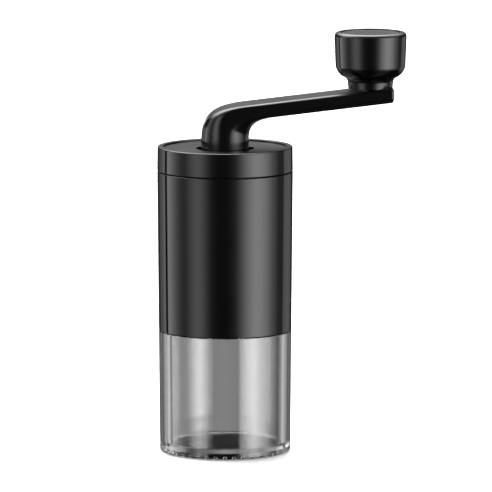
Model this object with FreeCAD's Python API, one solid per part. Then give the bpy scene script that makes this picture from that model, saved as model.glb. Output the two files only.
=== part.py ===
"""Hand crank coffee grinder: a clear catch cup, a dark hopper body, a lid with a captive crank, and a knob.

Frame: millimetres, +Z up, origin at the centre of the foot, crank along +X. Each piece is one STEP file.
"""

import math
import os

import FreeCAD
import Part

V = FreeCAD.Vector
UP = V(0, 0, 1)

# ---------------------------------------------------------------- driving dimensions
FOOT_R = 26.9  # outer radius at the foot
TAPER = 0.0086  # growth of the outer radius per millimetre of height
SEAM_Z = 50.4  # top of the cup's clear wall
LID_Z = 116.6  # underside of the lid's outer wall
LID_TOP = 126.5  # top of the lid's rim
LID_TOP_R = 27.8
PLATE_Z = 125.6  # recessed top plate of the lid
SLEEVE_GAP = 0.15  # sleeve above the cup's shoulder
LID_GAP = 0.45  # open line between sleeve and lid
RUN = 0.05  # radial clearance of a running fit
SEAL_R = 0.5  # section radius of both sealing rings

CORE_R = 26.35  # outside of the moulded core
CUP_BORE_R = 25.4  # core's bore for the cup's neck
CARRIER_R = 24.75  # burr carrier
HOPPER_R = 24.2
MOUTH_R = 24.85  # core's bore for the upper bridge and the lid's plug

SHAFT_R = 4.0
THREAD_R = 3.0
HEX_AF = 7.0  # across flats of the shaft's drive hexagons
SHAFT_BOTTOM = 52.2
SHAFT_TOP = 128.5

BURR_BOTTOM = 62.6  # outer burr
BURR_TOP = 75.5
BURR_MOUTH_R = 17.6  # outer burr's cone at its bottom
BURR_SLOPE = 0.277  # cone's radius lost per millimetre of height
BURR_GAP = 0.5  # radial gap between the burrs at rest
BURR_TEETH = 20
DIAL_R = 13.0

BOSS_R = 9.8  # crank's round root, and half the arm's width
JOURNAL_R = 9.7  # crank's root inside the lid
BOSS_BOTTOM = 114.6
HOLE_R = 11.85  # lid's centre hole
ARM_THICK = 6.3
ARM_SLOPE = 0.112  # arm's rise per millimetre of reach
REACH = 59.85  # crank axis to knob axis
ARM_END = 68.9
ARM_TOP_AT_KNOB = 149.8
PAD_Z = 149.5  # seat for the knob's washer

KNOB_Z = 149.85  # underside of the knob
KNOB_NECK_R = 9.15
KNOB_R = 14.97
KNOB_TOP = 173.15
KNOB_CAP_R = 12.1


# ---------------------------------------------------------------- shared helpers
def skin_r(z):
    """Outer radius of the tapered cup and sleeve at height z."""
    return FOOT_R + TAPER * z


def rounded_wire(corners, place):
    """Closed wire through corners (a, b) or (a, b, radius), with a tangent arc at each radius."""
    spans = []
    count = len(corners)
    for i, corner in enumerate(corners):
        at = V(corner[0], corner[1], 0)
        radius = corner[2] if len(corner) > 2 else 0.0
        if not radius:
            spans.append((at, at, at))
            continue
        back = V(*corners[i - 1][:2], 0).sub(at).normalize()
        ahead = V(*corners[(i + 1) % count][:2], 0).sub(at).normalize()
        half = back.getAngle(ahead) / 2
        reach = radius / math.tan(half)
        middle = at.add(back.add(ahead).normalize().multiply(radius / math.sin(half) - radius))
        spans.append((at.add(back * reach), middle, at.add(ahead * reach)))
    edges = []
    for i, (start, middle, end) in enumerate(spans):
        if start.distanceToPoint(end) > 1e-7:
            edges.append(Part.Arc(place(start), place(middle), place(end)).toShape())
        following = spans[(i + 1) % count][0]
        if end.distanceToPoint(following) > 1e-7:
            edges.append(Part.LineSegment(place(end), place(following)).toShape())
    return Part.Wire(edges)


def turned(corners, x=0.0):
    """Solid of revolution about the vertical axis at x, from (radius, height[, corner radius]) points."""
    wire = rounded_wire(corners, lambda p: V(x + p.x, 0, p.y))
    return Part.Face(wire).revolve(V(x, 0, 0), UP, 360)


def cylinder(radius, low, high, x=0.0, y=0.0):
    return Part.makeCylinder(radius, high - low, V(x, y, low), UP)


def tube(outer, inner, low, high, x=0.0):
    return cylinder(outer, low, high, x).cut(cylinder(inner, low, high, x))


def hexagon(across_flats, low, high, x=0.0, y=0.0):
    """Hexagonal prism with a corner on +X."""
    corner = across_flats / math.sqrt(3)
    points = [V(x + corner * math.cos(a), y + corner * math.sin(a), low) for a in turns(6)]
    return Part.Face(Part.makePolygon(points + points[:1])).extrude(V(0, 0, high - low))


def turns(count, start=0.0):
    """Evenly spaced angles round a circle, in radians."""
    return [start + 2 * math.pi * i / count for i in range(count)]


def around(shape, count, start=0.0):
    """Copies of a shape turned about the crank's axis."""
    copies = []
    for angle in turns(count, start):
        copy = shape.copy()
        copy.rotate(V(0, 0, 0), UP, math.degrees(angle))
        copies.append(copy)
    return copies


def bar(low_corner, high_corner):
    size = V(*high_corner).sub(V(*low_corner))
    return Part.makeBox(size.x, size.y, size.z, V(*low_corner))


def ring_seal(radius, z):
    """Round-section sealing ring."""
    return Part.makeTorus(radius, SEAL_R, V(0, 0, z), UP)


def screw(x, y, head_low, head_high, tip, shank_r, head_r):
    """Pan-head screw pointing up, with a hexagon socket in its head."""
    body = cylinder(head_r, head_low, head_high, x, y).fuse(cylinder(shank_r, head_high, tip, x, y))
    return body.cut(hexagon(head_r * 0.9, head_low, head_low + (head_high - head_low) * 0.6, x, y))


# ---------------------------------------------------------------- catch cup
NECK_R = 25.3
NECK_TOP = 59.5
NECK_BORE = 23.6
CUP_BORE = 23.2  # inner radius just above the floor
CUP_FLOOR = 4.0
PAD_R = 21.1
PAD_RECESS = 1.7
FOOT_LIFT = 0.3  # clear foot ring stands this far above the pad's face
SEAL_GROOVE_Z = 55.0


def catch_cup():
    """Clear moulded cup: tapered wall, necked top with a seal groove, dimpled foot ring, pad recess."""
    groove_low, groove_high = SEAL_GROOVE_Z - 0.65, SEAL_GROOVE_Z + 0.65
    body = turned(
        [
            (0, FOOT_LIFT + PAD_RECESS),
            (PAD_R + 0.1, FOOT_LIFT + PAD_RECESS),
            (PAD_R + 0.1, FOOT_LIFT, 0.3),
            (skin_r(FOOT_LIFT), FOOT_LIFT, 1.0),
            (skin_r(SEAM_Z), SEAM_Z, 0.3),
            (NECK_R, SEAM_Z),
            (NECK_R, groove_low),
            (NECK_R - 1.0, groove_low),
            (NECK_R - 1.0, groove_high),
            (NECK_R, groove_high),
            (NECK_R, NECK_TOP, 0.4),
            (NECK_BORE, NECK_TOP, 0.4),
            (CUP_BORE, CUP_FLOOR, 2.4),
            (0, CUP_FLOOR),
        ]
    )
    dimple_ring_r, dimple_r, dimples = 24.2, 1.35, 42
    for ball in around(Part.makeSphere(dimple_r, V(dimple_ring_r, 0, FOOT_LIFT - 0.25)), dimples):
        body = body.cut(ball)
    return body


def base_pad():
    """Non-slip rubber disc that the grinder stands on."""
    top = FOOT_LIFT + PAD_RECESS - 0.05
    return turned([(0, 0), (PAD_R, 0, 0.4), (PAD_R, top), (0, top)])


def cup_seal():
    return ring_seal(NECK_R - 1.0 + SEAL_R + 0.02, SEAL_GROOVE_Z)


# ---------------------------------------------------------------- hopper body
FUNNEL_TOP = 88.0
FLOOR_LOW = 78.0
FLOOR_HIGH = 80.0
THROAT_R = 15.6
BRIDGE_LEDGE = 104.0
CORE_TOP = 115.6
CARRIER_LOW = 61.4
SCREW_RING_R = 23.3


def outer_sleeve():
    """Tapered satin shell of the body."""
    low, high = SEAM_Z + SLEEVE_GAP, LID_Z - LID_GAP
    return turned(
        [
            (CORE_R + RUN, low),
            (skin_r(low), low, 0.25),
            (skin_r(high), high, 0.25),
            (CORE_R + RUN, high),
        ]
    )


def inner_core():
    """Moulded core: cup socket at the bottom, sloping hopper floor, ledge for the upper bridge."""
    low = SEAM_Z + SLEEVE_GAP + 0.4
    body = turned(
        [
            (CUP_BORE_R, low, 0.4),
            (CORE_R, low),
            (CORE_R, CORE_TOP),
            (MOUTH_R, CORE_TOP, 0.4),
            (MOUTH_R, BRIDGE_LEDGE),
            (HOPPER_R, BRIDGE_LEDGE),
            (HOPPER_R, FUNNEL_TOP, 2.0),
            (THROAT_R, FLOOR_HIGH, 0.5),
            (THROAT_R, FLOOR_LOW),
            (CARRIER_R + RUN, FLOOR_LOW),
            (CARRIER_R + RUN, CARRIER_LOW),
            (CUP_BORE_R, CARRIER_LOW - 0.4),
        ]
    )
    for hole in around(cylinder(1.25, FLOOR_LOW, 84.0, SCREW_RING_R), 3, math.pi / 3):
        body = body.cut(hole)
    return body


def bridge_arms(inner, outer, low, high, width):
    """Three spokes."""
    return around(bar((inner, -width / 2, low), (outer, width / 2, high)), 3)


def burr_carrier():
    """Seat for the outer burr, with a three-legged bridge over the throat that holds the lower bush."""
    seat_r, roof = 21.9, BURR_TOP + 0.1
    post_low, post_high, hub_low = FLOOR_LOW - 0.1, 89.5, 83.5
    throat = THROAT_R - 1.7
    body = turned(
        [
            (seat_r, CARRIER_LOW),
            (CARRIER_R, CARRIER_LOW, 0.3),
            (CARRIER_R, post_low, 0.3),
            (throat, post_low),
            (throat, roof, 0.4),
            (seat_r, roof),
        ]
    )
    posts = Part.makeCompound(bridge_arms(throat + 0.05, THROAT_R + 1, roof, post_high, 3.4))
    posts = posts.common(cylinder(THROAT_R - 0.2, roof, post_high))
    body = body.fuse(list(posts.Solids))
    body = body.fuse(bridge_arms(6.5, throat + 1.0, 85.0, post_high, 3.0))
    body = body.fuse(cylinder(7.4, hub_low, post_high))
    for hole in around(cylinder(1.25, CARRIER_LOW, post_low, SCREW_RING_R), 3, math.pi / 3):
        body = body.cut(hole)
    return body.cut(cylinder(5.5, hub_low, post_high)).removeSplitter()


def tooth_cutter(wall, slope, low, high, edge, mouth, half_width, skew):
    """Slanting three-sided bar on a cone; edge and mouth are how far its two sides lie from the cone's wall."""
    sections = []
    for z in (low, high):
        at = wall - slope * (z - low)
        corners = [V(at + edge, 0, z), V(at + mouth, half_width, z), V(at + mouth, -half_width, z)]
        section = Part.makePolygon(corners + corners[:1])
        section.rotate(V(0, 0, 0), UP, skew * (z - low) / (high - low))
        sections.append(section)
    return Part.makeLoft(sections, True, True)


def outer_burr():
    """Ring burr with an inner cone; the teeth lie between slanting grooves."""
    body = turned(
        [
            (BURR_MOUTH_R, BURR_BOTTOM),
            (21.8, BURR_BOTTOM, 0.4),
            (21.8, BURR_TOP, 0.4),
            (BURR_MOUTH_R - BURR_SLOPE * (BURR_TOP - BURR_BOTTOM), BURR_TOP),
        ]
    )
    low, high = BURR_BOTTOM - 0.5, BURR_TOP + 0.5
    mouth_r = BURR_MOUTH_R + BURR_SLOPE * (BURR_BOTTOM - low)
    groove_bar = tooth_cutter(mouth_r, BURR_SLOPE, low, high, 1.6, -2.5, 2.0, 18.0)
    for groove in around(groove_bar, BURR_TEETH):
        body = body.cut(groove)
    return body


def burr_retainer():
    """Steel ring that closes the burr seat from below."""
    body = tube(24.5, 18.4, 60.6, CARRIER_LOW - 0.05)
    for hole in around(cylinder(1.25, 60.0, CARRIER_LOW, SCREW_RING_R), 3, math.pi / 3):
        body = body.cut(hole)
    return body


def burr_screws():
    """Three long screws that clamp retainer, burr and carrier to the hopper floor."""
    places = [(SCREW_RING_R * math.cos(a), SCREW_RING_R * math.sin(a)) for a in turns(3, math.pi / 3)]
    return Part.makeCompound([screw(x, y, 59.6, 60.6, 83.5, 1.2, 1.7) for x, y in places])


def flanged_bush(low, seat, top):
    """Sintered bronze bush with a flange on top of its seat."""
    bore = SHAFT_R + RUN
    return turned([(bore, low), (5.5, low), (5.5, seat), (7.0, seat), (7.0, top, 0.2), (bore, top, 0.2)])


def lower_bush():
    return flanged_bush(83.5, 89.5, 90.3)


def upper_bush():
    return flanged_bush(103.0, 110.5, 111.3)


def upper_bridge():
    """Three-spoked bridge across the hopper's mouth that holds the upper bush."""
    ring = tube(MOUTH_R - RUN, 22.9, BRIDGE_LEDGE, BRIDGE_LEDGE + 4)
    body = ring.fuse(bridge_arms(6.5, 23.5, BRIDGE_LEDGE, BRIDGE_LEDGE + 4, 3.4))
    body = body.fuse(cylinder(7.4, 103.0, 110.5))
    return body.cut(cylinder(5.5, 103.0, 110.5)).removeSplitter()


# ---------------------------------------------------------------- drive and burr
SHAFT_HEX_LOW = 61.6
SHAFT_HEX_HIGH = 78.8
COLLAR_LOW = 90.8
COLLAR_HIGH = 92.8
SHAFT_ROUND_TOP = 112.6
INNER_LOW = 60.8
INNER_HIGH = 77.8
INNER_SHOULDER = 70.0
SPRING_LOW = 78.45
SPRING_HIGH = 83.4


def drive_shaft():
    """Steel shaft: threaded tip, hexagon for the burr, two journals with a collar, drive hexagon on top."""
    body = turned(
        [
            (0, SHAFT_BOTTOM),
            (THREAD_R, SHAFT_BOTTOM, 0.5),
            (THREAD_R, SHAFT_HEX_LOW),
            (0, SHAFT_HEX_LOW),
        ]
    )
    body = body.fuse(hexagon(HEX_AF, SHAFT_HEX_LOW, SHAFT_HEX_HIGH))
    body = body.fuse(cylinder(SHAFT_R, SHAFT_HEX_HIGH, SHAFT_ROUND_TOP))
    body = body.fuse(cylinder(6.5, COLLAR_LOW, COLLAR_HIGH))
    top = hexagon(HEX_AF, SHAFT_ROUND_TOP, SHAFT_TOP)
    tapered = [(5, SHAFT_ROUND_TOP), (5, SHAFT_TOP - 1.5), (3.5, SHAFT_TOP)]
    lead_in = turned([(0, SHAFT_ROUND_TOP)] + tapered + [(0, SHAFT_TOP)])
    return body.fuse(top.common(lead_in)).removeSplitter()


def thrust_washer():
    return tube(7.0, SHAFT_R + RUN, 90.35, COLLAR_LOW)


def burr_spring():
    """Compression spring that keeps the inner burr down on its dial."""
    wire_r, mean_r, coils = 0.45, 5.15, 4
    rise = SPRING_HIGH - SPRING_LOW - 2 * wire_r
    helix = Part.makeHelix(rise / coils, rise, mean_r)
    helix.translate(V(0, 0, SPRING_LOW + wire_r))
    start = Part.Wire([Part.makeCircle(wire_r, V(mean_r, 0, SPRING_LOW + wire_r), V(0, 1, 0))])
    return Part.Wire(helix).makePipeShell([start], True, True)


def inner_burr():
    """Cone burr: deep feeding flutes above, fine skewed grooves below, hexagonal bore."""
    cone_r = BURR_MOUTH_R - BURR_GAP + BURR_SLOPE * (BURR_BOTTOM - INNER_LOW)
    shoulder_r = cone_r - BURR_SLOPE * (INNER_SHOULDER - INNER_LOW)
    body = turned(
        [
            (0, INNER_LOW),
            (cone_r, INNER_LOW),
            (shoulder_r, INNER_SHOULDER),
            (8.2, INNER_HIGH, 0.6),
            (0, INNER_HIGH),
        ]
    )
    fine = tooth_cutter(cone_r, BURR_SLOPE, INNER_LOW - 0.5, INNER_HIGH, -1.5, 3.0, 1.5, -22.0)
    for groove in around(fine, BURR_TEETH):
        body = body.cut(groove)
    steep = (shoulder_r - 8.2) / (INNER_HIGH - INNER_SHOULDER)
    flute_low, flute_high = INNER_SHOULDER - 1.0, INNER_HIGH + 0.5
    deep = tooth_cutter(shoulder_r + steep, steep, flute_low, flute_high, -2.6, 3.0, 3.4, -40.0)
    for flute in around(deep, 5, 0.2):
        body = body.cut(flute)
    return body.cut(hexagon(HEX_AF + 2 * RUN, INNER_LOW, INNER_HIGH))


def spring_washer():
    return tube(7.0, 4.2, INNER_HIGH + 0.05, SPRING_LOW - 0.05)


def click_plate():
    """Thin detent disc under the inner burr."""
    body = tube(9.0, 4.3, 60.3, INNER_LOW)
    for dimple in around(Part.makeSphere(0.7, V(7.4, 0, 59.95)), 12):
        body = body.cut(dimple)
    return body


def adjuster_dial():
    """Scalloped grind-setting dial."""
    low, high = 54.0, 60.25
    body = turned(
        [
            (4.6, low, 0.4),
            (DIAL_R, low, 1.0),
            (DIAL_R, high - 1.5, 0.8),
            (9.5, high),
            (4.6, high),
        ]
    )
    for scallop in around(cylinder(2.2, low, high, DIAL_R + 1.3), 12):
        body = body.cut(scallop)
    return body


def adjuster_insert():
    """Brass nut moulded into the dial."""
    return tube(4.6, THREAD_R + RUN, 53.6, 60.25)


# ---------------------------------------------------------------- lid
POST_RING_R = 19.5
SHELF_LOW = LID_Z
SHELF_HIGH = 118.8
CAP_UNDERSIDE = 123.4


def lid_cap():
    """Visible lid: tapered band, raised rim, recessed plate with the crank's hole, three screw posts."""
    wall_r = 26.4
    body = turned(
        [
            (HOLE_R, CAP_UNDERSIDE),
            (wall_r, CAP_UNDERSIDE, 0.6),
            (wall_r, LID_Z),
            (skin_r(LID_Z), LID_Z, 0.25),
            (LID_TOP_R, LID_TOP, 0.8),
            (25.3, LID_TOP, 0.35),
            (25.3, PLATE_Z),
            (HOLE_R, PLATE_Z, 0.25),
        ]
    )
    for post in around(cylinder(2.6, SHELF_HIGH + 0.1, CAP_UNDERSIDE, POST_RING_R), 3):
        body = body.fuse(post)
    for hole in around(cylinder(1.0, SHELF_HIGH, 122.4, POST_RING_R), 3):
        body = body.cut(hole)
    return body


def lid_plug():
    """Moulding under the lid that plugs the hopper's mouth and carries the crank's bush."""
    plug_r, groove_z = MOUTH_R - 0.1, 112.6
    body = turned(
        [
            (10.3, SHELF_LOW, 0.3),
            (22.9, SHELF_LOW, 0.6),
            (22.9, 110.6, 0.4),
            (plug_r, 110.6, 0.5),
            (plug_r, groove_z - 0.65),
            (plug_r - 1.0, groove_z - 0.65),
            (plug_r - 1.0, groove_z + 0.65),
            (plug_r, groove_z + 0.65),
            (plug_r, LID_Z + 0.1),
            (26.3, LID_Z + 0.1),
            (26.3, SHELF_HIGH),
            (13.9, SHELF_HIGH, 0.6),
            (13.9, CAP_UNDERSIDE - 0.1),
            (HOLE_R, CAP_UNDERSIDE - 0.1),
            (HOLE_R, SHELF_HIGH),
            (10.3, SHELF_HIGH),
        ]
    )
    for hole in around(cylinder(1.15, SHELF_LOW, SHELF_HIGH, POST_RING_R), 3):
        body = body.cut(hole)
    return body


def lid_bush():
    """Nylon bearing ring in which the crank's root turns."""
    return turned(
        [
            (JOURNAL_R + 0.08, SHELF_HIGH + 0.05, 0.2),
            (HOLE_R - 0.02, SHELF_HIGH + 0.05),
            (HOLE_R - 0.02, CAP_UNDERSIDE - 0.5, 0.3),
            (JOURNAL_R + 0.08, CAP_UNDERSIDE - 0.5, 0.5),
        ]
    )


def lid_seal():
    return ring_seal(MOUTH_R - 1.1 + SEAL_R + 0.02, 112.6)


def lid_screws():
    places = [(POST_RING_R * math.cos(a), POST_RING_R * math.sin(a)) for a in turns(3)]
    return Part.makeCompound([screw(x, y, SHELF_LOW - 1.2, SHELF_LOW, 122.2, 1.0, 2.0) for x, y in places])


# ---------------------------------------------------------------- crank
SOCKET_TOP = 129.0
INSERT_R = 7.0
CLIP_LOW = 115.7
CLIP_HIGH = 116.5
STUD_THREAD_R = 2.5
STUD_R = 3.2
HEAD_LOW = KNOB_TOP - 6.3
HEAD_HIGH = KNOB_TOP - 3.9


def arm_top(x):
    return ARM_TOP_AT_KNOB - ARM_SLOPE * (REACH - x)


def half_section(inner, outer, power, inset=0.0):
    """Evenly spaced points of one half of the arm's section, inner to outer side: a circle at power 2."""
    centre, across = (inner + outer) * 0.5, (outer - inner) * 0.5
    across = across * (1 - inset / across.Length)
    fine, steps = 240, 18
    trace = []
    for i in range(fine + 1):
        c, s = math.cos(math.pi * i / fine), math.sin(math.pi * i / fine)
        u = -math.copysign(abs(c) ** (2 / power), c)
        v = 0.0 if i in (0, fine) else s ** (2 / power)
        trace.append(centre + across * u + V(0, (BOSS_R - inset) * v, 0))
    lengths = [0.0]
    for before, after in zip(trace, trace[1:]):
        lengths.append(lengths[-1] + before.distanceToPoint(after))
    points = [trace[0]]
    for k in range(1, steps):
        goal = lengths[-1] * k / steps
        i = next(n for n, length in enumerate(lengths) if length >= goal)
        share = (goal - lengths[i - 1]) / (lengths[i] - lengths[i - 1])
        points.append(trace[i - 1] + (trace[i] - trace[i - 1]) * share)
    return points + [trace[-1]]


def top_point(x):
    return V(x, 0, arm_top(x))


def under_point(x):
    return V(x, 0, arm_top(x) - ARM_THICK)


def elbow(start, rise, end, run):
    """Side view of one face of the bend: straight up from its start, then along the arm to its end."""
    curve = Part.BezierCurve()
    curve.setPoles([start, start + UP * rise, end - V(1, 0, ARM_SLOPE) * run, end])
    return curve


def closed_by_mirror(rows):
    """Solid from rows of half sections: a smooth side, two flat ends and the same again mirrored."""
    surface = Part.BSplineSurface()
    surface.interpolate(rows)
    side = surface.toShape()
    end_rims = []
    faces = [side]
    chords = []
    for row in (rows[0], rows[-1]):
        middle = Part.Vertex(row[len(row) // 2])
        rim = min(side.Edges, key=lambda edge: edge.distToShape(middle)[0])
        chord = Part.LineSegment(row[0], row[-1]).toShape()
        faces.append(Part.Face(Part.Wire([rim, chord])))
        end_rims.append(rim)
        chords.append(chord)
    long_edges = [e for e in side.Edges if not any(e.isSame(rim) for rim in end_rims)]
    faces.append(Part.Face(Part.Wire(Part.__sortEdges__(long_edges + chords))))
    shell = Part.makeShell(faces)
    shell.sewShape()
    half = Part.Solid(shell)
    return half.fuse(half.mirror(V(0, 0, 0), V(0, 1, 0))).removeSplitter()


def crank_arm():
    """Moulded crank: a round root that bends over into a flat, gently rising arm with a spot-faced seat."""
    elbow_top, elbow_under, end_round = 8.5, 19.3, 1.1
    join_z, pad_r, tip_step = 124.0, 8.9, 0.02
    outer = elbow(V(-BOSS_R, 0, 129.0), 10.8, top_point(elbow_top), 13.0)
    inner = elbow(V(BOSS_R, 0, 129.5), 6.0, under_point(elbow_under), 6.5)
    rows = [half_section(V(BOSS_R, 0, z), V(-BOSS_R, 0, z), 2.0) for z in (join_z, join_z + 2.5)]
    bends = 8
    for i in range(bends + 1):
        t = i / bends
        rows.append(half_section(inner.value(t), outer.value(t), 2.0 + 2.4 * t * t))
    straight, last = 14, ARM_END - end_round
    for i in range(1, straight + 1):
        t = i / straight
        top = top_point(elbow_top + (last - elbow_top) * t)
        under = under_point(elbow_under + (last - elbow_under) * (0.6 * t + 0.4 * t * t))
        rows.append(half_section(under, top, 4.4 + 1.6 * t))
    tip = []
    for angle in (0, 0.5, 1.0, math.pi / 2):
        x = last + end_round * math.sin(angle)
        inset = tip_step + end_round * (1 - math.cos(angle))
        tip.append(half_section(under_point(x), top_point(x), 6.0, inset))
    arm = closed_by_mirror(rows).fuse(closed_by_mirror(tip))
    arm = arm.fuse(cylinder(pad_r, PAD_Z - 3.5, PAD_Z, REACH))
    arm = arm.cut(cylinder(KNOB_NECK_R + 0.3, PAD_Z, PAD_Z + 3, REACH))
    arm = arm.cut(cylinder(STUD_THREAD_R, PAD_Z - 8, PAD_Z, REACH))
    arm = arm.cut(cylinder(INSERT_R, join_z, SOCKET_TOP))
    root = tube(JOURNAL_R, INSERT_R, BOSS_BOTTOM, join_z)
    root = root.cut(tube(BOSS_R + 1, 9.0, CLIP_LOW - 0.05, CLIP_HIGH + 0.05))
    return root.fuse(arm)


def hex_insert():
    """Steel socket pressed into the crank's root."""
    body = cylinder(INSERT_R, BOSS_BOTTOM, SOCKET_TOP)
    return body.cut(hexagon(HEX_AF + 2 * RUN, BOSS_BOTTOM, SOCKET_TOP - 0.2))


def boss_clip():
    """Spring clip in the crank's root that keeps the lid on the crank."""
    body = tube(11.5, 9.05, CLIP_LOW, CLIP_HIGH)
    return body.cut(bar((8, -2.5, CLIP_LOW), (13, 2.5, CLIP_HIGH)))


def knob_stud():
    """Shoulder screw on which the knob turns."""
    bottom = PAD_Z - 5.4
    body = cylinder(STUD_THREAD_R, bottom, PAD_Z, REACH)
    body = body.fuse(cylinder(STUD_R, PAD_Z, HEAD_LOW, REACH))
    body = body.fuse(turned([(0, HEAD_LOW), (5.2, HEAD_LOW), (5.2, HEAD_HIGH, 0.6), (0, HEAD_HIGH)], REACH))
    return body.cut(hexagon(4.0, HEAD_HIGH - 1.6, HEAD_HIGH, REACH))


def knob_washer():
    return tube(7.2, STUD_R + RUN, PAD_Z, KNOB_Z - 0.05, REACH)


# ---------------------------------------------------------------- knob
SLEEVE_R = 4.6
CAP_SEAT = KNOB_TOP - 2.3


def knob_profile():
    """Outside of the knob from its foot to its rim: flared neck, shoulder, drafted side, rounded rim."""
    neck_top = KNOB_Z + 2.6
    neck_r, side_r = 9.45, 14.3
    hollow_r, shoulder_r, lean = 2.2, 5.5, math.radians(30)
    hollow_end = V(neck_r + hollow_r - hollow_r * math.sin(lean), 0, neck_top + hollow_r * math.cos(lean))
    hollow_mid = V(neck_r + hollow_r - hollow_r * math.cos(lean), 0, neck_top + hollow_r * math.sin(lean))
    run = (side_r - hollow_end.x - shoulder_r * (1 - math.sin(lean))) / math.cos(lean)
    shoulder_start = hollow_end + V(math.cos(lean), 0, math.sin(lean)) * run
    centre = shoulder_start + V(-math.sin(lean), 0, math.cos(lean)) * shoulder_r
    half = -lean
    shoulder_mid = centre + V(math.cos(half), 0, math.sin(half)) * shoulder_r
    side_low = V(side_r, 0, centre.z)
    rim_r = 1.8
    side_high = V(KNOB_R, 0, KNOB_TOP - rim_r)
    rim_mid = V(KNOB_R - rim_r * (1 - math.sqrt(0.5)), 0, KNOB_TOP - rim_r * (1 - math.sqrt(0.5)))
    rim_top = V(KNOB_R - rim_r, 0, KNOB_TOP)
    lip = V(KNOB_CAP_R + 0.05, 0, KNOB_TOP - 0.35)
    lip_mid = V(KNOB_CAP_R + 0.45, 0, KNOB_TOP - 0.06)
    foot = V(KNOB_NECK_R, 0, KNOB_Z + 0.3)
    foot_in = V(KNOB_NECK_R - 0.3, 0, KNOB_Z)
    neck = V(neck_r, 0, neck_top)
    seat = V(lip.x, 0, CAP_SEAT)
    pocket = V(6.4, 0, CAP_SEAT)
    pocket_low = V(6.4, 0, HEAD_LOW - 0.1)
    bore_top = V(SLEEVE_R, 0, HEAD_LOW - 0.1)
    bore_low = V(SLEEVE_R, 0, KNOB_Z)
    return [
        Part.LineSegment(foot_in, foot),
        Part.LineSegment(foot, neck),
        Part.Arc(neck, hollow_mid, hollow_end),
        Part.LineSegment(hollow_end, shoulder_start),
        Part.Arc(shoulder_start, shoulder_mid, side_low),
        Part.LineSegment(side_low, side_high),
        Part.Arc(side_high, rim_mid, rim_top),
        Part.Arc(rim_top, lip_mid, lip),
        Part.LineSegment(lip, seat),
        Part.LineSegment(seat, pocket),
        Part.LineSegment(pocket, pocket_low),
        Part.LineSegment(pocket_low, bore_top),
        Part.LineSegment(bore_top, bore_low),
        Part.LineSegment(bore_low, foot_in),
    ]


def knob_body():
    wire = Part.Wire([piece.toShape() for piece in knob_profile()])
    body = Part.Face(wire).revolve(V(0, 0, 0), UP, 360)
    body.translate(V(REACH, 0, 0))
    return body


def knob_sleeve():
    """Nylon liner of the knob's bore."""
    return tube(SLEEVE_R, STUD_R + RUN, KNOB_Z, HEAD_LOW - 0.1, REACH)


def knob_cap():
    """Disc that hides the stud's head."""
    top = KNOB_TOP - 0.5
    return turned([(0, CAP_SEAT), (KNOB_CAP_R, CAP_SEAT), (KNOB_CAP_R, top, 0.35), (0, top)], REACH)


# ---------------------------------------------------------------- export
PIECES = [
    catch_cup,
    base_pad,
    cup_seal,
    outer_sleeve,
    inner_core,
    burr_carrier,
    outer_burr,
    burr_retainer,
    burr_screws,
    lower_bush,
    upper_bush,
    upper_bridge,
    drive_shaft,
    thrust_washer,
    burr_spring,
    inner_burr,
    spring_washer,
    click_plate,
    adjuster_dial,
    adjuster_insert,
    lid_cap,
    lid_plug,
    lid_bush,
    lid_seal,
    lid_screws,
    crank_arm,
    hex_insert,
    boss_clip,
    knob_stud,
    knob_washer,
    knob_body,
    knob_sleeve,
    knob_cap,
]

os.makedirs("parts", exist_ok=True)
for piece in PIECES:
    shape = piece()
    name = piece.__name__
    print(f"{name:16s} valid {shape.isValid()} solids {len(shape.Solids)} volume {shape.Volume:10.1f}")
    shape.exportStep(f"parts/{name}.step")
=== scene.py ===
import math

import bmesh
import bpy
from mathutils import Matrix, Vector


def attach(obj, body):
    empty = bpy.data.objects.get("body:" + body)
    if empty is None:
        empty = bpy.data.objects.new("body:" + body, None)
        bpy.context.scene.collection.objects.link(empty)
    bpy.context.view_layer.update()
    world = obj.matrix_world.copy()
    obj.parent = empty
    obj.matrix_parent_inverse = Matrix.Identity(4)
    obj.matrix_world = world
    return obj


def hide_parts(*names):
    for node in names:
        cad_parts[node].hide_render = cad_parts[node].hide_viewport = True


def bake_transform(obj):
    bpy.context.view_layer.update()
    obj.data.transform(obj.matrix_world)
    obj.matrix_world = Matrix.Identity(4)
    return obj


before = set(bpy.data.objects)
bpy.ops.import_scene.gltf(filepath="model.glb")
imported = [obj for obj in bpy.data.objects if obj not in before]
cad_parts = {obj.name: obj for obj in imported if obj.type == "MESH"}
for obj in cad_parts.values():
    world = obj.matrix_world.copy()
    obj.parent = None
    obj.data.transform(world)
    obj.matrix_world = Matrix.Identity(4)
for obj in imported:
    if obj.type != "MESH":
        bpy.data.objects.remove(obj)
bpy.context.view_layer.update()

# ---------------------------------------------------------------------------------------------
# Catch cup: one clear moulding of SAN with a thick drafted wall, a necked top that plugs into the
# body and a ring of ball-end dimples under its foot. Polished tool steel leaves it mirror smooth.

MM = 0.001


def from_hex(code):
    """sRGB hex colour as linear RGBA."""
    parts = [int(code[i : i + 2], 16) / 255 for i in (1, 3, 5)]
    linear = [c / 12.92 if c <= 0.04045 else ((c + 0.055) / 1.055) ** 2.4 for c in parts]
    return (*linear, 1.0)


def add(tree, kind, links=None, **settings):
    """One node with its settings; links gives its inputs a value or another node's output."""
    node = tree.nodes.new(kind)
    for name, value in settings.items():
        setattr(node, name, value)
    for name, value in (links or {}).items():
        if isinstance(value, bpy.types.NodeSocket):
            tree.links.new(value, node.inputs[name])
        else:
            node.inputs[name].default_value = value
    return node


def new_material(name):
    """Empty material with its output node: (material, tree, output)."""
    material = bpy.data.materials.new(name)
    material.use_nodes = True
    tree = material.node_tree
    tree.nodes.clear()
    return material, tree, add(tree, "ShaderNodeOutputMaterial")


ROUND_STEPS = 210


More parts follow.
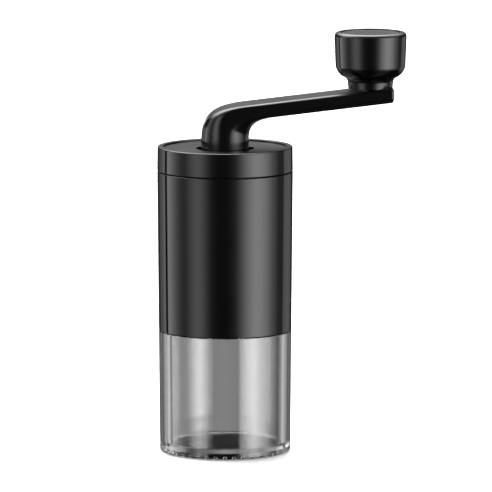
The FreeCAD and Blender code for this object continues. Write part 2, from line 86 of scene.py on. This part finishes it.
def lathe(name, corners, axis_x=0.0, steps=ROUND_STEPS):
    """Turned piece about a vertical axis, from (radius, height[, round]) corners in millimetres."""
    bm = bmesh.new()
    points = [bm.verts.new((c[0] * MM, 0, c[1] * MM)) for c in corners]
    for a, b in zip(points, points[1:] + points[:1]):
        bm.edges.new((a, b))
    for point, corner in zip(points, corners):
        if len(corner) < 3:
            continue
        arms = [(e.other_vert(point).co - point.co).normalized() for e in point.link_edges]
        half = arms[0].angle(arms[1]) / 2
        bmesh.ops.bevel(
            bm,
            geom=[point],
            offset=corner[2] * MM / math.tan(half),
            segments=corner[3] if len(corner) > 3 else 6,
            profile=0.5,
            affect="VERTICES",
            material=-1,
        )
    bmesh.ops.spin(
        bm,
        geom=bm.verts[:] + bm.edges[:],
        cent=(0, 0, 0),
        axis=(0, 0, 1),
        angle=math.tau,
        steps=steps,
        use_merge=True,
    )
    bmesh.ops.remove_doubles(bm, verts=bm.verts[:], dist=1e-6)
    loose = [e for e in bm.edges if not e.link_faces]
    bmesh.ops.delete(bm, geom=loose, context="EDGES")
    bmesh.ops.recalc_face_normals(bm, faces=bm.faces[:])
    bmesh.ops.translate(bm, verts=bm.verts[:], vec=(axis_x * MM, 0, 0))
    return finished(name, bm)


def finished(name, bm, sharp=28):
    """Object from a bmesh, smooth except over edges sharper than that many degrees."""
    for face in bm.faces:
        face.smooth = True
    for edge in bm.edges:
        if len(edge.link_faces) == 2 and edge.calc_face_angle(0.0) > math.radians(sharp):
            edge.smooth = False
    mesh = bpy.data.meshes.new(name)
    bm.to_mesh(mesh)
    bm.free()
    piece = bpy.data.objects.new(name, mesh)
    bpy.context.scene.collection.objects.link(piece)
    even = piece.modifiers.new("even normals", "WEIGHTED_NORMAL")
    even.keep_sharp = True
    return piece


def outer_r(z):
    """Radius of the tapered outside at a height in millimetres."""
    return 26.9 + 0.0086 * z


FOOT_Z, RECESS_Z, FLOOR_Z, SHOULDER_Z, NECK_TOP = 0.3, 2.0, 4.0, 50.4, 59.5
RECESS_R, NECK_R, GROOVE_R, GROOVE_LOW, GROOVE_HIGH = 21.2, 25.3, 24.3, 54.35, 55.65
cup = lathe(
    "catch_cup_clear",
    [
        (0, RECESS_Z),
        (RECESS_R, RECESS_Z),
        (RECESS_R, FOOT_Z, 0.3, 3),
        (outer_r(FOOT_Z), FOOT_Z, 1.0, 8),
        (outer_r(SHOULDER_Z), SHOULDER_Z, 0.3, 4),
        (NECK_R, SHOULDER_Z),
        (NECK_R, GROOVE_LOW),
        (GROOVE_R, GROOVE_LOW),
        (GROOVE_R, GROOVE_HIGH),
        (NECK_R, GROOVE_HIGH),
        (NECK_R, NECK_TOP, 0.4, 4),
        (23.6, NECK_TOP, 0.4, 4),
        (23.2, FLOOR_Z, 0.7, 6),
        (0, FLOOR_Z),
    ],
)

DIMPLES, DIMPLE_R, DIMPLE_RING, DIMPLE_Z = 42, 1.35, 24.2, 0.05
bm = bmesh.new()
for i in range(DIMPLES):
    turn = math.tau * i / DIMPLES
    centre = Vector((DIMPLE_RING * math.cos(turn), DIMPLE_RING * math.sin(turn), DIMPLE_Z)) * MM
    bmesh.ops.create_icosphere(
        bm, subdivisions=3, radius=DIMPLE_R * MM, matrix=Matrix.Translation(centre)
    )
ball_mesh = bpy.data.meshes.new("dimple_balls")
bm.to_mesh(ball_mesh)
bm.free()
balls = bpy.data.objects.new("dimple_balls", ball_mesh)
bpy.context.scene.collection.objects.link(balls)
cut = cup.modifiers.new("dimples", "BOOLEAN")
cut.operation = "DIFFERENCE"
cut.solver = "EXACT"
cut.object = balls
cup.modifiers.move(1, 0)
shaped = cup.evaluated_get(bpy.context.evaluated_depsgraph_get())
settled = bpy.data.meshes.new_from_object(shaped)
cup.modifiers.clear()
cup.data = settled
bpy.data.objects.remove(balls)
for face in cup.data.polygons:
    face.use_smooth = True

clear_san, tree, output = new_material("polished SAN")
# Almost colourless, with a high index that draws dark lines in the thick wall. Faint flow marks of
# about 5 mm from the moulding vary the gloss.
where = add(tree, "ShaderNodeTexCoord")
flow = add(
    tree,
    "ShaderNodeTexNoise",
    {"Vector": where.outputs["Object"], "Scale": 220.0, "Detail": 2.0},
)
gloss = add(
    tree,
    "ShaderNodeMapRange",
    {"Value": flow.outputs["Fac"], "To Min": 0.0, "To Max": 0.02},
)
shader = add(
    tree,
    "ShaderNodeBsdfPrincipled",
    {
        "Base Color": from_hex("#f1f1f1"),
        "Roughness": gloss.outputs["Result"],
        "IOR": 1.57,
        "Transmission Weight": 1.0,
    },
)
tree.links.new(shader.outputs["BSDF"], output.inputs["Surface"])
cup.data.materials.append(clear_san)
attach(cup, "cup")
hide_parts("catch_cup")

# ---------------------------------------------------------------------------------------------
# Foot pad and sealing rings: black silicone rubber, pressed in a matt tool. The pad is glued into
# the cup's foot recess; one ring sits in the cup's neck and one in the lid's plug.


def dress(node, material):
    """Gives a CAD node its material."""
    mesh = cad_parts[node].data
    mesh.materials.clear()
    mesh.materials.append(material)


def bumpy(tree, where, scale, height, detail=3.0):
    """Normal of a fine noise relief: scale in features a metre, height in metres."""
    grain = add(
        tree,
        "ShaderNodeTexNoise",
        {"Vector": where, "Scale": scale, "Detail": detail},
    )
    relief = add(
        tree,
        "ShaderNodeBump",
        {"Height": grain.outputs["Fac"], "Distance": height, "Strength": 1.0},
    )
    return grain.outputs["Fac"], relief.outputs["Normal"]


silicone, tree, output = new_material("silicone rubber")
# A soft matt black with a faint pearl-grain of 0.4 mm and slightly uneven sheen.
where = add(tree, "ShaderNodeTexCoord").outputs["Object"]
grain, relief = bumpy(tree, where, 2400, 0.02 * MM)
tone = add(
    tree,
    "ShaderNodeMix",
    {"Factor": grain, "A": from_hex("#0a0a0a"), "B": from_hex("#151515")},
    data_type="RGBA",
)
shader = add(
    tree,
    "ShaderNodeBsdfPrincipled",
    {"Base Color": tone.outputs[2], "Roughness": 0.62, "IOR": 1.42, "Normal": relief},
)
tree.links.new(shader.outputs["BSDF"], output.inputs["Surface"])
for node in ("base_pad", "cup_seal", "lid_seal"):
    dress(node, silicone)

# ---------------------------------------------------------------------------------------------
# Body sleeve: a black ABS moulding with a satin skin, slightly tapered, pushed over the core. Its
# top edge stops short of the lid, which leaves the fine dark line between them.

SLEEVE_BORE, SLEEVE_LOW, SLEEVE_HIGH, EDGE_BREAK = 26.4, 50.55, 116.15, 0.25
sleeve = lathe(
    "body_sleeve",
    [
        (SLEEVE_BORE, SLEEVE_LOW),
        (outer_r(SLEEVE_LOW), SLEEVE_LOW, EDGE_BREAK, 4),
        (outer_r(SLEEVE_HIGH), SLEEVE_HIGH, EDGE_BREAK, 4),
        (SLEEVE_BORE, SLEEVE_HIGH),
    ],
)


def satin_plastic(name, tone, blur, skim, top_blur):
    """Dark moulded plastic: rough by blur face on, skim at a low angle, top_blur on top faces."""
    material, tree, output = new_material(name)
    where = add(tree, "ShaderNodeTexCoord")
    drift = add(
        tree,
        "ShaderNodeTexNoise",
        {"Vector": where.outputs["Object"], "Scale": 60.0, "Detail": 4.0},
    )
    facing = add(tree, "ShaderNodeLayerWeight", {"Blend": 0.5}).outputs["Facing"]
    wall = add(
        tree,
        "ShaderNodeMapRange",
        {"Value": facing, "From Min": 0.12, "From Max": 0.42, "To Min": blur, "To Max": skim},
        interpolation_type="SMOOTHSTEP",
    )
    up = add(tree, "ShaderNodeSeparateXYZ", {"Vector": where.outputs["Normal"]})
    top = add(
        tree,
        "ShaderNodeMapRange",
        {"Value": up.outputs["Z"], "From Min": 0.3, "From Max": 0.7},
        interpolation_type="SMOOTHSTEP",
    )
    gloss = add(
        tree,
        "ShaderNodeMix",
        {"Factor": top.outputs["Result"], "A": wall.outputs["Result"], "B": top_blur},
    )
    uneven = add(
        tree,
        "ShaderNodeMapRange",
        {"Value": drift.outputs["Fac"], "To Min": 0.9, "To Max": 1.1},
    )
    sheen = add(
        tree,
        "ShaderNodeMath",
        {0: gloss.outputs["Result"], 1: uneven.outputs["Result"]},
        operation="MULTIPLY",
    )
    colour = add(
        tree,
        "ShaderNodeMix",
        {"Factor": drift.outputs["Fac"], "A": from_hex(tone), "B": from_hex("#0a0a0b")},
        data_type="RGBA",
    )
    grain, relief = bumpy(tree, where.outputs["Object"], 3500, 0.0012 * MM, 2.0)
    shader = add(
        tree,
        "ShaderNodeBsdfPrincipled",
        {
            "Base Color": colour.outputs[2],
            "Roughness": sheen.outputs["Value"],
            "IOR": 1.54,
            "Normal": relief,
        },
    )
    tree.links.new(shader.outputs["BSDF"], output.inputs["Surface"])
    return material


# Fine-eroded tool steel gives ABS a skin that blurs reflections but keeps their edges.
body_abs = satin_plastic("moulded ABS", "#060606", 0.3, 0.04, 0.3)
sleeve.data.materials.append(body_abs)
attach(sleeve, "housing")
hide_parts("outer_sleeve")

# ---------------------------------------------------------------------------------------------
# Inner mouldings: core with the hopper floor, burr carrier, upper bridge, lid plug and dial. They
# are black glass-filled nylon straight from the tool, matt with a fine leathery skin.

matt_nylon, tree, output = new_material("glass-filled nylon, matt")
# Short fibres at the skin show as pale flecks under a millimetre long.
where = add(tree, "ShaderNodeTexCoord").outputs["Object"]
grain, relief = bumpy(tree, where, 1600, 0.01 * MM)
fleck = add(
    tree,
    "ShaderNodeValToRGB",
    {"Fac": grain},
)
fleck.color_ramp.elements[0].position = 0.35
fleck.color_ramp.elements[0].color = from_hex("#0e0e0f")
fleck.color_ramp.elements[1].position = 0.8
fleck.color_ramp.elements[1].color = from_hex("#1d1d1e")
shader = add(
    tree,
    "ShaderNodeBsdfPrincipled",
    {"Base Color": fleck.outputs["Color"], "Roughness": 0.48, "IOR": 1.53, "Normal": relief},
)
tree.links.new(shader.outputs["BSDF"], output.inputs["Surface"])
for node in ("inner_core", "burr_carrier", "upper_bridge", "lid_plug", "adjuster_dial"):
    dress(node, matt_nylon)

# ---------------------------------------------------------------------------------------------
# Burrs: hardened stainless steel, ground. The outer ring sits in its carrier and the cone on the
# shaft, and beans are cut between their teeth.

burr_steel, tree, output = new_material("ground burr steel")
# Grinding leaves rings round the axis, 0.6 mm apart here so that they show.
where = add(tree, "ShaderNodeTexCoord").outputs["Object"]
rings = add(
    tree,
    "ShaderNodeTexWave",
    {"Vector": where, "Scale": 520.0, "Distortion": 1.2, "Detail": 2.0, "Detail Scale": 1.5},
    wave_type="BANDS",
    bands_direction="Z",
)
tone = add(
    tree,
    "ShaderNodeMix",
    {"Factor": rings.outputs["Fac"], "A": from_hex("#8c8d8f"), "B": from_hex("#b4b5b6")},
    data_type="RGBA",
)
gloss = add(
    tree,
    "ShaderNodeMapRange",
    {"Value": rings.outputs["Fac"], "To Min": 0.28, "To Max": 0.42},
)
shader = add(
    tree,
    "ShaderNodeBsdfPrincipled",
    {"Base Color": tone.outputs[2], "Metallic": 1.0, "Roughness": gloss.outputs["Result"]},
)
tree.links.new(shader.outputs["BSDF"], output.inputs["Surface"])
for node in ("outer_burr", "inner_burr"):
    dress(node, burr_steel)

# ---------------------------------------------------------------------------------------------
# Steel hardware: shaft, washers, retaining ring, screws, clip, drive socket and knob stud.
# Bright steel, turned or stamped.

bright_steel, tree, output = new_material("bright stainless steel")
# Turning marks about 0.1 mm apart run round the upright pieces and break up the gloss.
where = add(tree, "ShaderNodeTexCoord").outputs["Object"]
stretched = add(
    tree,
    "ShaderNodeMapping",
    {"Vector": where, "Scale": (1.0, 1.0, 12.0)},
)
lines = add(
    tree,
    "ShaderNodeTexNoise",
    {"Vector": stretched.outputs["Vector"], "Scale": 900.0, "Detail": 3.0},
)
gloss = add(
    tree,
    "ShaderNodeMapRange",
    {"Value": lines.outputs["Fac"], "To Min": 0.16, "To Max": 0.34},
)
tone = add(
    tree,
    "ShaderNodeMix",
    {"Factor": lines.outputs["Fac"], "A": from_hex("#a4a5a7"), "B": from_hex("#c9cacb")},
    data_type="RGBA",
)
shader = add(
    tree,
    "ShaderNodeBsdfPrincipled",
    {"Base Color": tone.outputs[2], "Metallic": 1.0, "Roughness": gloss.outputs["Result"]},
)
tree.links.new(shader.outputs["BSDF"], output.inputs["Surface"])
for node in (
    "burr_retainer",
    "burr_screws",
    "drive_shaft",
    "thrust_washer",
    "spring_washer",
    "click_plate",
    "lid_screws",
    "hex_insert",
    "boss_clip",
    "knob_stud",
):
    dress(node, bright_steel)

# ---------------------------------------------------------------------------------------------
# Burr spring: four coils of spring wire that push the cone burr down on its dial. Its top end bears
# on the bush, and the coil is built at one fixed length.

SPRING_LOW, SPRING_HIGH, WIRE_R, COIL_R, COILS, COIL_STEPS = 78.45, 83.4, 0.45, 5.15, 4, 40
foot = Matrix.Translation(Vector((COIL_R, 0, SPRING_LOW + WIRE_R)) * MM)
rise = SPRING_HIGH - SPRING_LOW - 2 * WIRE_R
bm = bmesh.new()
bmesh.ops.create_circle(
    bm, segments=14, radius=WIRE_R * MM, matrix=foot @ Matrix.Rotation(math.pi / 2, 4, "X")
)
bmesh.ops.spin(
    bm,
    geom=bm.verts[:] + bm.edges[:],
    cent=(0, 0, 0),
    axis=(0, 0, 1),
    dvec=(0, 0, rise * MM / (COILS * COIL_STEPS)),
    angle=math.tau * COILS,
    steps=COILS * COIL_STEPS,
)
bmesh.ops.holes_fill(bm, edges=bm.edges[:], sides=14)
bmesh.ops.recalc_face_normals(bm, faces=bm.faces[:])
coil = finished("burr_coil", bm, 50)
coil.data.materials.append(bright_steel)
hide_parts("burr_spring")
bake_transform(coil)

# ---------------------------------------------------------------------------------------------
# Bearings: sintered bronze bushes in the two bridges, natural nylon rings in the knob,
# and the brass nut moulded into the dial.

bronze, tree, output = new_material("sintered bronze")
# Open pores of about 0.25 mm hold oil and read as dark specks.
where = add(tree, "ShaderNodeTexCoord").outputs["Object"]
pores = add(tree, "ShaderNodeTexVoronoi", {"Vector": where, "Scale": 4000.0})
tone = add(
    tree,
    "ShaderNodeMix",
    {"Factor": pores.outputs["Distance"], "A": from_hex("#5b4527"), "B": from_hex("#a5824c")},
    data_type="RGBA",
)
shader = add(
    tree,
    "ShaderNodeBsdfPrincipled",
    {"Base Color": tone.outputs[2], "Metallic": 1.0, "Roughness": 0.45},
)
tree.links.new(shader.outputs["BSDF"], output.inputs["Surface"])
for node in ("lower_bush", "upper_bush"):
    dress(node, bronze)

brass, tree, output = new_material("turned brass")
# Turning marks run round the nut, 0.5 mm apart here so that they show.
where = add(tree, "ShaderNodeTexCoord").outputs["Object"]
marks = add(
    tree,
    "ShaderNodeTexWave",
    {"Vector": where, "Scale": 640.0, "Distortion": 0.5},
    wave_type="BANDS",
    bands_direction="Z",
)
gloss = add(
    tree,
    "ShaderNodeMapRange",
    {"Value": marks.outputs["Fac"], "To Min": 0.2, "To Max": 0.34},
)
shader = add(
    tree,
    "ShaderNodeBsdfPrincipled",
    {"Base Color": from_hex("#c9a04f"), "Metallic": 1.0, "Roughness": gloss.outputs["Result"]},
)
tree.links.new(shader.outputs["BSDF"], output.inputs["Surface"])
dress("adjuster_insert", brass)

nylon, tree, output = new_material("natural nylon")
# Milky and slightly translucent, with a waxy skin.
where = add(tree, "ShaderNodeTexCoord").outputs["Object"]
grain, relief = bumpy(tree, where, 1200, 0.01 * MM)
tone = add(
    tree,
    "ShaderNodeMix",
    {"Factor": grain, "A": from_hex("#d6d3c8"), "B": from_hex("#e6e4dc")},
    data_type="RGBA",
)
shader = add(
    tree,
    "ShaderNodeBsdfPrincipled",
    {
        "Base Color": tone.outputs[2],
        "Roughness": 0.38,
        "IOR": 1.53,
        "Subsurface Weight": 0.15,
        "Subsurface Scale": 0.001,
        "Normal": relief,
    },
)
tree.links.new(shader.outputs["BSDF"], output.inputs["Surface"])
for node in ("knob_washer", "knob_sleeve"):
    dress(node, nylon)

# ---------------------------------------------------------------------------------------------
# Lid: black ABS cap with a raised rim and a recessed plate, screwed from below to its plug. The
# crank's root turns in a dark nylon ring deep in the centre hole.

LID_LOW, LID_INSIDE, PLATE_Z, RIM_TOP = 116.6, 123.4, 125.6, 126.5
HOLE_R, RIM_INNER, RIM_OUTER = 11.85, 25.3, 27.8
lid = lathe(
    "lid_shell",
    [
        (HOLE_R, LID_INSIDE),
        (SLEEVE_BORE, LID_INSIDE, 0.6, 4),
        (SLEEVE_BORE, LID_LOW),
        (outer_r(LID_LOW), LID_LOW, EDGE_BREAK, 4),
        (RIM_OUTER, RIM_TOP, 0.5, 6),
        (RIM_INNER, RIM_TOP, 0.35, 5),
        (RIM_INNER, PLATE_Z),
        (HOLE_R, PLATE_Z, EDGE_BREAK, 4),
    ],
)
lid.data.materials.append(body_abs)
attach(lid, "lid")
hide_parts("lid_cap")
dress("lid_bush", matt_nylon)

# ---------------------------------------------------------------------------------------------
# Crank: glass-filled nylon with the body's satin skin. Its round root bends over into a flat arm
# that rises to the knob, with rounded long edges and a square end.

REACH, SLOPE, THICK, HALF_WIDTH, SEAT_Z = 59.85, 0.112, 6.3, 9.8, 149.8


def arm_top(x):
    """Height of the arm's top face."""
    return SEAT_Z - SLOPE * (REACH - x)


def shape_section(ring, inner, outer, round_top, round_under, inset=0.0):
    """Moves a ring of vertices onto the arm's section between an under and a top point (x, z)."""
    middle = [(a + b) / 2 for a, b in zip(inner, outer)]
    half = [(b - a) / 2 for a, b in zip(inner, outer)]
    thick, wide = math.hypot(*half) - inset, HALF_WIDTH - inset
    for vert, turn in ring.items():
        c, s = math.cos(turn), math.sin(turn)
        corner = round_top if c > 0 else round_under
        over, out = min(corner, thick), min(corner, wide)
        across = (math.copysign(thick - over, c) + over * c) / (thick + inset)
        along = math.copysign(wide - out, s) + out * s
        vert.co = Vector((middle[0] + half[0] * across, along, middle[1] + half[1] * across)) * MM


def bezier(p, t):
    """Point of a cubic curve with four poles (x, z)."""
    s = 1 - t
    weights = (s**3, 3 * s * s * t, 3 * s * t * t, t**3)
    return tuple(sum(w * q[i] for w, q in zip(weights, p)) for i in (0, 1))


TOP_X, TOP_PULL, UNDER_X, UNDER_PULL = 8.5, 13.0, 19.3, 6.5
outer_bend = (
    (-HALF_WIDTH, 129.0),
    (-HALF_WIDTH, 139.8),
    (TOP_X - TOP_PULL, arm_top(TOP_X) - TOP_PULL * SLOPE),
    (TOP_X, arm_top(TOP_X)),
)
inner_bend = (
    (HALF_WIDTH, 129.5),
    (HALF_WIDTH, 135.5),
    (UNDER_X - UNDER_PULL, arm_top(UNDER_X) - THICK - UNDER_PULL * SLOPE),
    (UNDER_X, arm_top(UNDER_X) - THICK),
)
TOP_EDGE, UNDER_EDGE, END_EDGE, END_X = 1.5, 2.4, 1.1, 67.8
BEND_LOOPS, STRAIGHT_LOOPS, END_LOOPS, RING_POINTS = 24, 20, 6, 80
stations = [
    ((HALF_WIDTH, z), (-HALF_WIDTH, z), HALF_WIDTH, HALF_WIDTH)
    for z in (121.0, 124.0, 126.5)
]
for i in range(BEND_LOOPS + 1):
    t = i / BEND_LOOPS
    extra = (1 - t * t * (3 - 2 * t)) * (HALF_WIDTH - TOP_EDGE)
    stations.append(
        (bezier(inner_bend, t), bezier(outer_bend, t), TOP_EDGE + extra, UNDER_EDGE + extra)
    )
for i in range(1, STRAIGHT_LOOPS + 1):
    t = i / STRAIGHT_LOOPS
    top_x = TOP_X + (END_X - TOP_X) * t
    under_x = UNDER_X + (END_X - UNDER_X) * (0.6 * t + 0.4 * t * t)
    under, top = (under_x, arm_top(under_x) - THICK), (top_x, arm_top(top_x))
    stations.append((under, top, TOP_EDGE, UNDER_EDGE))
for i in range(1, END_LOOPS + 1):
    turn = math.pi / 2 * i / END_LOOPS
    x, inset = END_X + END_EDGE * math.sin(turn), END_EDGE * (1 - math.cos(turn))
    stations.append(((x, arm_top(x) - THICK), (x, arm_top(x)), TOP_EDGE, UNDER_EDGE, inset))

bm = bmesh.new()
half_step = Matrix.Rotation(math.pi / RING_POINTS, 4, "Z")
circle = bmesh.ops.create_circle(bm, segments=RING_POINTS, radius=1.0, matrix=half_step)["verts"]
ring = {vert: math.atan2(vert.co.y, vert.co.x) for vert in circle}
bmesh.ops.contextual_create(bm, geom=circle)
shape_section(ring, *stations[0])
for station in stations[1:]:
    rim = [e for e in bm.edges if e.verts[0] in ring and e.verts[1] in ring]
    grown = bmesh.ops.extrude_edge_only(bm, edges=rim)["geom"]
    fresh = {}
    for vert in (item for item in grown if isinstance(item, bmesh.types.BMVert)):
        before = next(e.other_vert(vert) for e in vert.link_edges if e.other_vert(vert) in ring)
        fresh[vert] = ring[before]
    ring = fresh
    shape_section(ring, *station)
bmesh.ops.contextual_create(bm, geom=list(ring))
bmesh.ops.recalc_face_normals(bm, faces=bm.faces[:])
arm = finished("crank_arm_moulded", bm)
# A finer texture than the body's, so the bend keeps a clearer highlight. The fibres pale it.
arm_nylon = satin_plastic("glass-filled nylon, satin", "#121212", 0.24, 0.1, 0.3)
arm.data.materials.append(arm_nylon)
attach(arm, "crank")
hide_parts("crank_arm")

# ---------------------------------------------------------------------------------------------
# Knob: black ABS with a flared neck and a drafted side, closed on top by a pressed-in disc in a
# slightly paler, finer finish.

NECK_Z, KNOB_TOP = 149.85, 173.15
DISC_SEAT, BORE_TOP = KNOB_TOP - 2.3, KNOB_TOP - 6.4
DISC_HOLE_R, BORE_R, LINER_R = 12.15, 6.4, 4.65
KNOB_STEPS = 160
knob = lathe(
    "knob_shell",
    [
        (LINER_R, NECK_Z, 0.2, 2),
        (9.15, NECK_Z, 0.3, 4),
        (9.45, NECK_Z + 3.87, 2.2, 8),
        (14.3, NECK_Z + 6.67, 5.5, 14),
        (14.97, KNOB_TOP, 1.8, 12),
        (DISC_HOLE_R, KNOB_TOP, 0.35, 4),
        (DISC_HOLE_R, DISC_SEAT),
        (BORE_R, DISC_SEAT),
        (BORE_R, BORE_TOP),
        (LINER_R, BORE_TOP),
    ],
    axis_x=REACH,
    steps=KNOB_STEPS,
)
knob.data.materials.append(body_abs)
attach(knob, "knob")
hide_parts("knob_body")

DISC_R, DISC_TOP = 12.1, KNOB_TOP - 0.5
disc = lathe(
    "knob_disc",
    [
        (0, DISC_SEAT),
        (DISC_R, DISC_SEAT),
        (DISC_R, DISC_TOP, 0.35, 4),
        (0, DISC_TOP),
    ],
    axis_x=REACH,
    steps=KNOB_STEPS,
)
# Spark erosion leaves an even matt face that scatters light and so looks paler than the rim.
disc_abs = satin_plastic("spark-textured ABS", "#2e2e2f", 0.3, 0.3, 0.3)
disc.data.materials.append(disc_abs)
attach(disc, "knob")
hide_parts("knob_cap")

# ---------------------------------------------------------------------------------------------
# Studio: a pale floor, a camera with a long lens, and soft panels round the object, painted on the
# world as brightness against bearing, with a large soft light overhead and behind.

scene = bpy.context.scene
scene.view_settings.view_transform = "Standard"

BEARING, DISTANCE, CAMERA_Z, LENS = math.radians(-4.0), 3.0, 0.5, 538.9
AIM_RIGHT, AIM_Z = 0.0086, 0.085
FLOOR_HALF, FLOOR_Z_M = 4.0, -0.0001
to_camera = Vector((math.sin(BEARING), -math.cos(BEARING), 0))
to_right = Vector((math.cos(BEARING), math.sin(BEARING), 0))
lens = bpy.data.cameras.new("camera")
lens.sensor_width = 36.0
lens.lens = LENS
lens.clip_end = 20.0
camera = bpy.data.objects.new("camera", lens)
scene.collection.objects.link(camera)
camera.location = to_camera * DISTANCE + Vector((0, 0, CAMERA_Z))
aim = to_right * AIM_RIGHT + Vector((0, 0, AIM_Z))
camera.rotation_mode = "QUATERNION"
camera.rotation_quaternion = (aim - camera.location).to_track_quat("-Z", "Y")
scene.camera = camera

bm = bmesh.new()
bmesh.ops.create_grid(bm, x_segments=1, y_segments=1, size=FLOOR_HALF)
bmesh.ops.translate(bm, verts=bm.verts[:], vec=(0, 0, FLOOR_Z_M))
floor_mesh = bpy.data.meshes.new("floor")
bm.to_mesh(floor_mesh)
bm.free()
floor = bpy.data.objects.new("floor", floor_mesh)
scene.collection.objects.link(floor)
paper, tree, output = new_material("white backdrop paper")
# Matt white, with a little glow for the light that a full white sweep sends back.
shader = add(
    tree,
    "ShaderNodeBsdfPrincipled",
    {
        "Base Color": from_hex("#f4f4f4"),
        "Roughness": 0.9,
        "Specular IOR Level": 0.1,
        "Emission Color": (1, 1, 1, 1),
        "Emission Strength": 0.1,
    },
)
tree.links.new(shader.outputs["BSDF"], output.inputs["Surface"])
floor.data.materials.append(paper)
floor.visible_diffuse = False
floor.visible_glossy = False
floor.visible_transmission = False

world = bpy.data.worlds.new("studio")
scene.world = world
world.use_nodes = True
tree = world.node_tree
tree.nodes.clear()
output = add(tree, "ShaderNodeOutputWorld")
direction = add(tree, "ShaderNodeTexCoord").outputs["Generated"]
ahead = add(tree, "ShaderNodeVectorMath", {0: direction, 1: to_camera}, operation="DOT_PRODUCT")
aside = add(tree, "ShaderNodeVectorMath", {0: direction, 1: to_right}, operation="DOT_PRODUCT")
bearing = add(
    tree,
    "ShaderNodeMath",
    {0: aside.outputs["Value"], 1: ahead.outputs["Value"]},
    operation="ARCTAN2",
)
place = add(
    tree,
    "ShaderNodeMapRange",
    {"Value": bearing.outputs["Value"], "From Min": -math.pi, "From Max": math.pi},
)
panels = add(tree, "ShaderNodeValToRGB", {"Fac": place.outputs["Result"]})
PEAK = 6.0
# Panel brightness by bearing in degrees from the camera, to its right positive.
stops = [
    (-180, 0.33),
    (-169, 0.2),
    (-160, 0.1),
    (-157, 0.02),
    (-153, 0.02),
    (-149, 0.22),
    (-137, 0.38),
    (-131, 0.75),
    (-125.5, 1.05),
    (-123.5, 0.01),
    (-118.5, 0.01),
    (-115.5, 2.0),
    (-104, 1.65),
    (-90, 0.85),
    (-80, 0.4),
    (-69, 0.15),
    (-67, 0.5),
    (-48, 2.3),
    (-31.5, 0.7),
    (-30.5, 0.02),
    (25, 0.02),
    (26.5, 1.3),
    (55, 5.6),
    (88, 1.15),
    (104, 0.24),
    (118, 0.16),
    (120.5, 0.65),
    (134, 0.55),
    (148, 0.3),
    (156, 0.01),
    (162, 0.04),
    (180, 0.33),
]
ramp = panels.color_ramp
while len(ramp.elements) < len(stops):
    ramp.elements.new(0.5)
for element, (angle, level) in zip(ramp.elements, stops):
    element.position = (angle + 180) / 360
    element.color = (level / PEAK, level / PEAK, level / PEAK, 1)
height = add(tree, "ShaderNodeSeparateXYZ", {"Vector": direction}).outputs["Z"]
bearing, ahead, aside = (node.outputs["Value"] for node in (bearing, ahead, aside))
# Edges of the lights: what each is read from, where it starts and ends, and its two levels.
edges = {
    "top": (height, 0.27, 0.85, 0.0, 9.0, "SMOOTHSTEP"),
    "top_rear": (ahead, 0.3, -0.3, 0.0, 1.0, "SMOOTHSTEP"),
    "top_left": (aside, 0.6, 0.0, 0.25, 1.0, "SMOOTHSTEP"),
    "strip_under": (height, -0.07, -0.01, 0.0, 1.6, "SMOOTHSTEP"),
    "strip_over": (height, 0.07, 0.01, 0.0, 1.0, "SMOOTHSTEP"),
    "strip_side": (bearing, -2.7, -2.9, 0.0, 1.0, "SMOOTHSTEP"),
    "wall_under": (height, -0.55, -0.3, 0.04, 1.0, "SMOOTHSTEP"),
    "wall_over": (height, 0.6, 0.3, 0.04, 1.0, "SMOOTHSTEP"),
    "rear": (ahead, -0.1, -0.4, 0.0, 1.0, "LINEAR"),
    "rear_over": (height, 0.0, 0.06, 0.0, 1.0, "LINEAR"),
}
edge = {}
for name, (reading, start, end, level, full, blend) in edges.items():
    ranged = add(
        tree,
        "ShaderNodeMapRange",
        {"Value": reading, "From Min": start, "From Max": end, "To Min": level, "To Max": full},
        interpolation_type=blend,
    )
    edge[name] = ranged.outputs["Result"]
hidden = add(
    tree,
    "ShaderNodeMath",
    {0: edge["rear"], 1: edge["rear_over"]},
    operation="MULTIPLY",
)
open_part = add(
    tree,
    "ShaderNodeMapRange",
    {"Value": hidden.outputs["Value"], "To Min": 1.0, "To Max": 0.08},
)
lights = (
    (
        panels.outputs["Color"],
        PEAK,
        edge["wall_under"],
        edge["wall_over"],
        open_part.outputs["Result"],
    ),
    (edge["strip_under"], edge["strip_over"], edge["strip_side"]),
    (edge["top"], edge["top_rear"], edge["top_left"]),
)
total = 0.0
for light in lights:
    level = light[0]
    for factor in light[1:]:
        product = add(tree, "ShaderNodeMath", {0: level, 1: factor}, operation="MULTIPLY")
        level = product.outputs["Value"]
    brightest = add(tree, "ShaderNodeMath", {0: total, 1: level}, operation="MAXIMUM")
    total = brightest.outputs["Value"]
studio = add(tree, "ShaderNodeBackground", {"Color": (1, 1, 1, 1), "Strength": total})
backdrop = add(tree, "ShaderNodeBackground", {"Color": (1, 1, 1, 1), "Strength": 1.0})
rays = add(tree, "ShaderNodeLightPath")
seen = add(
    tree,
    "ShaderNodeMixShader",
    {
        0: rays.outputs["Is Camera Ray"],
        1: studio.outputs["Background"],
        2: backdrop.outputs["Background"],
    },
)
tree.links.new(seen.outputs["Shader"], output.inputs["Surface"])
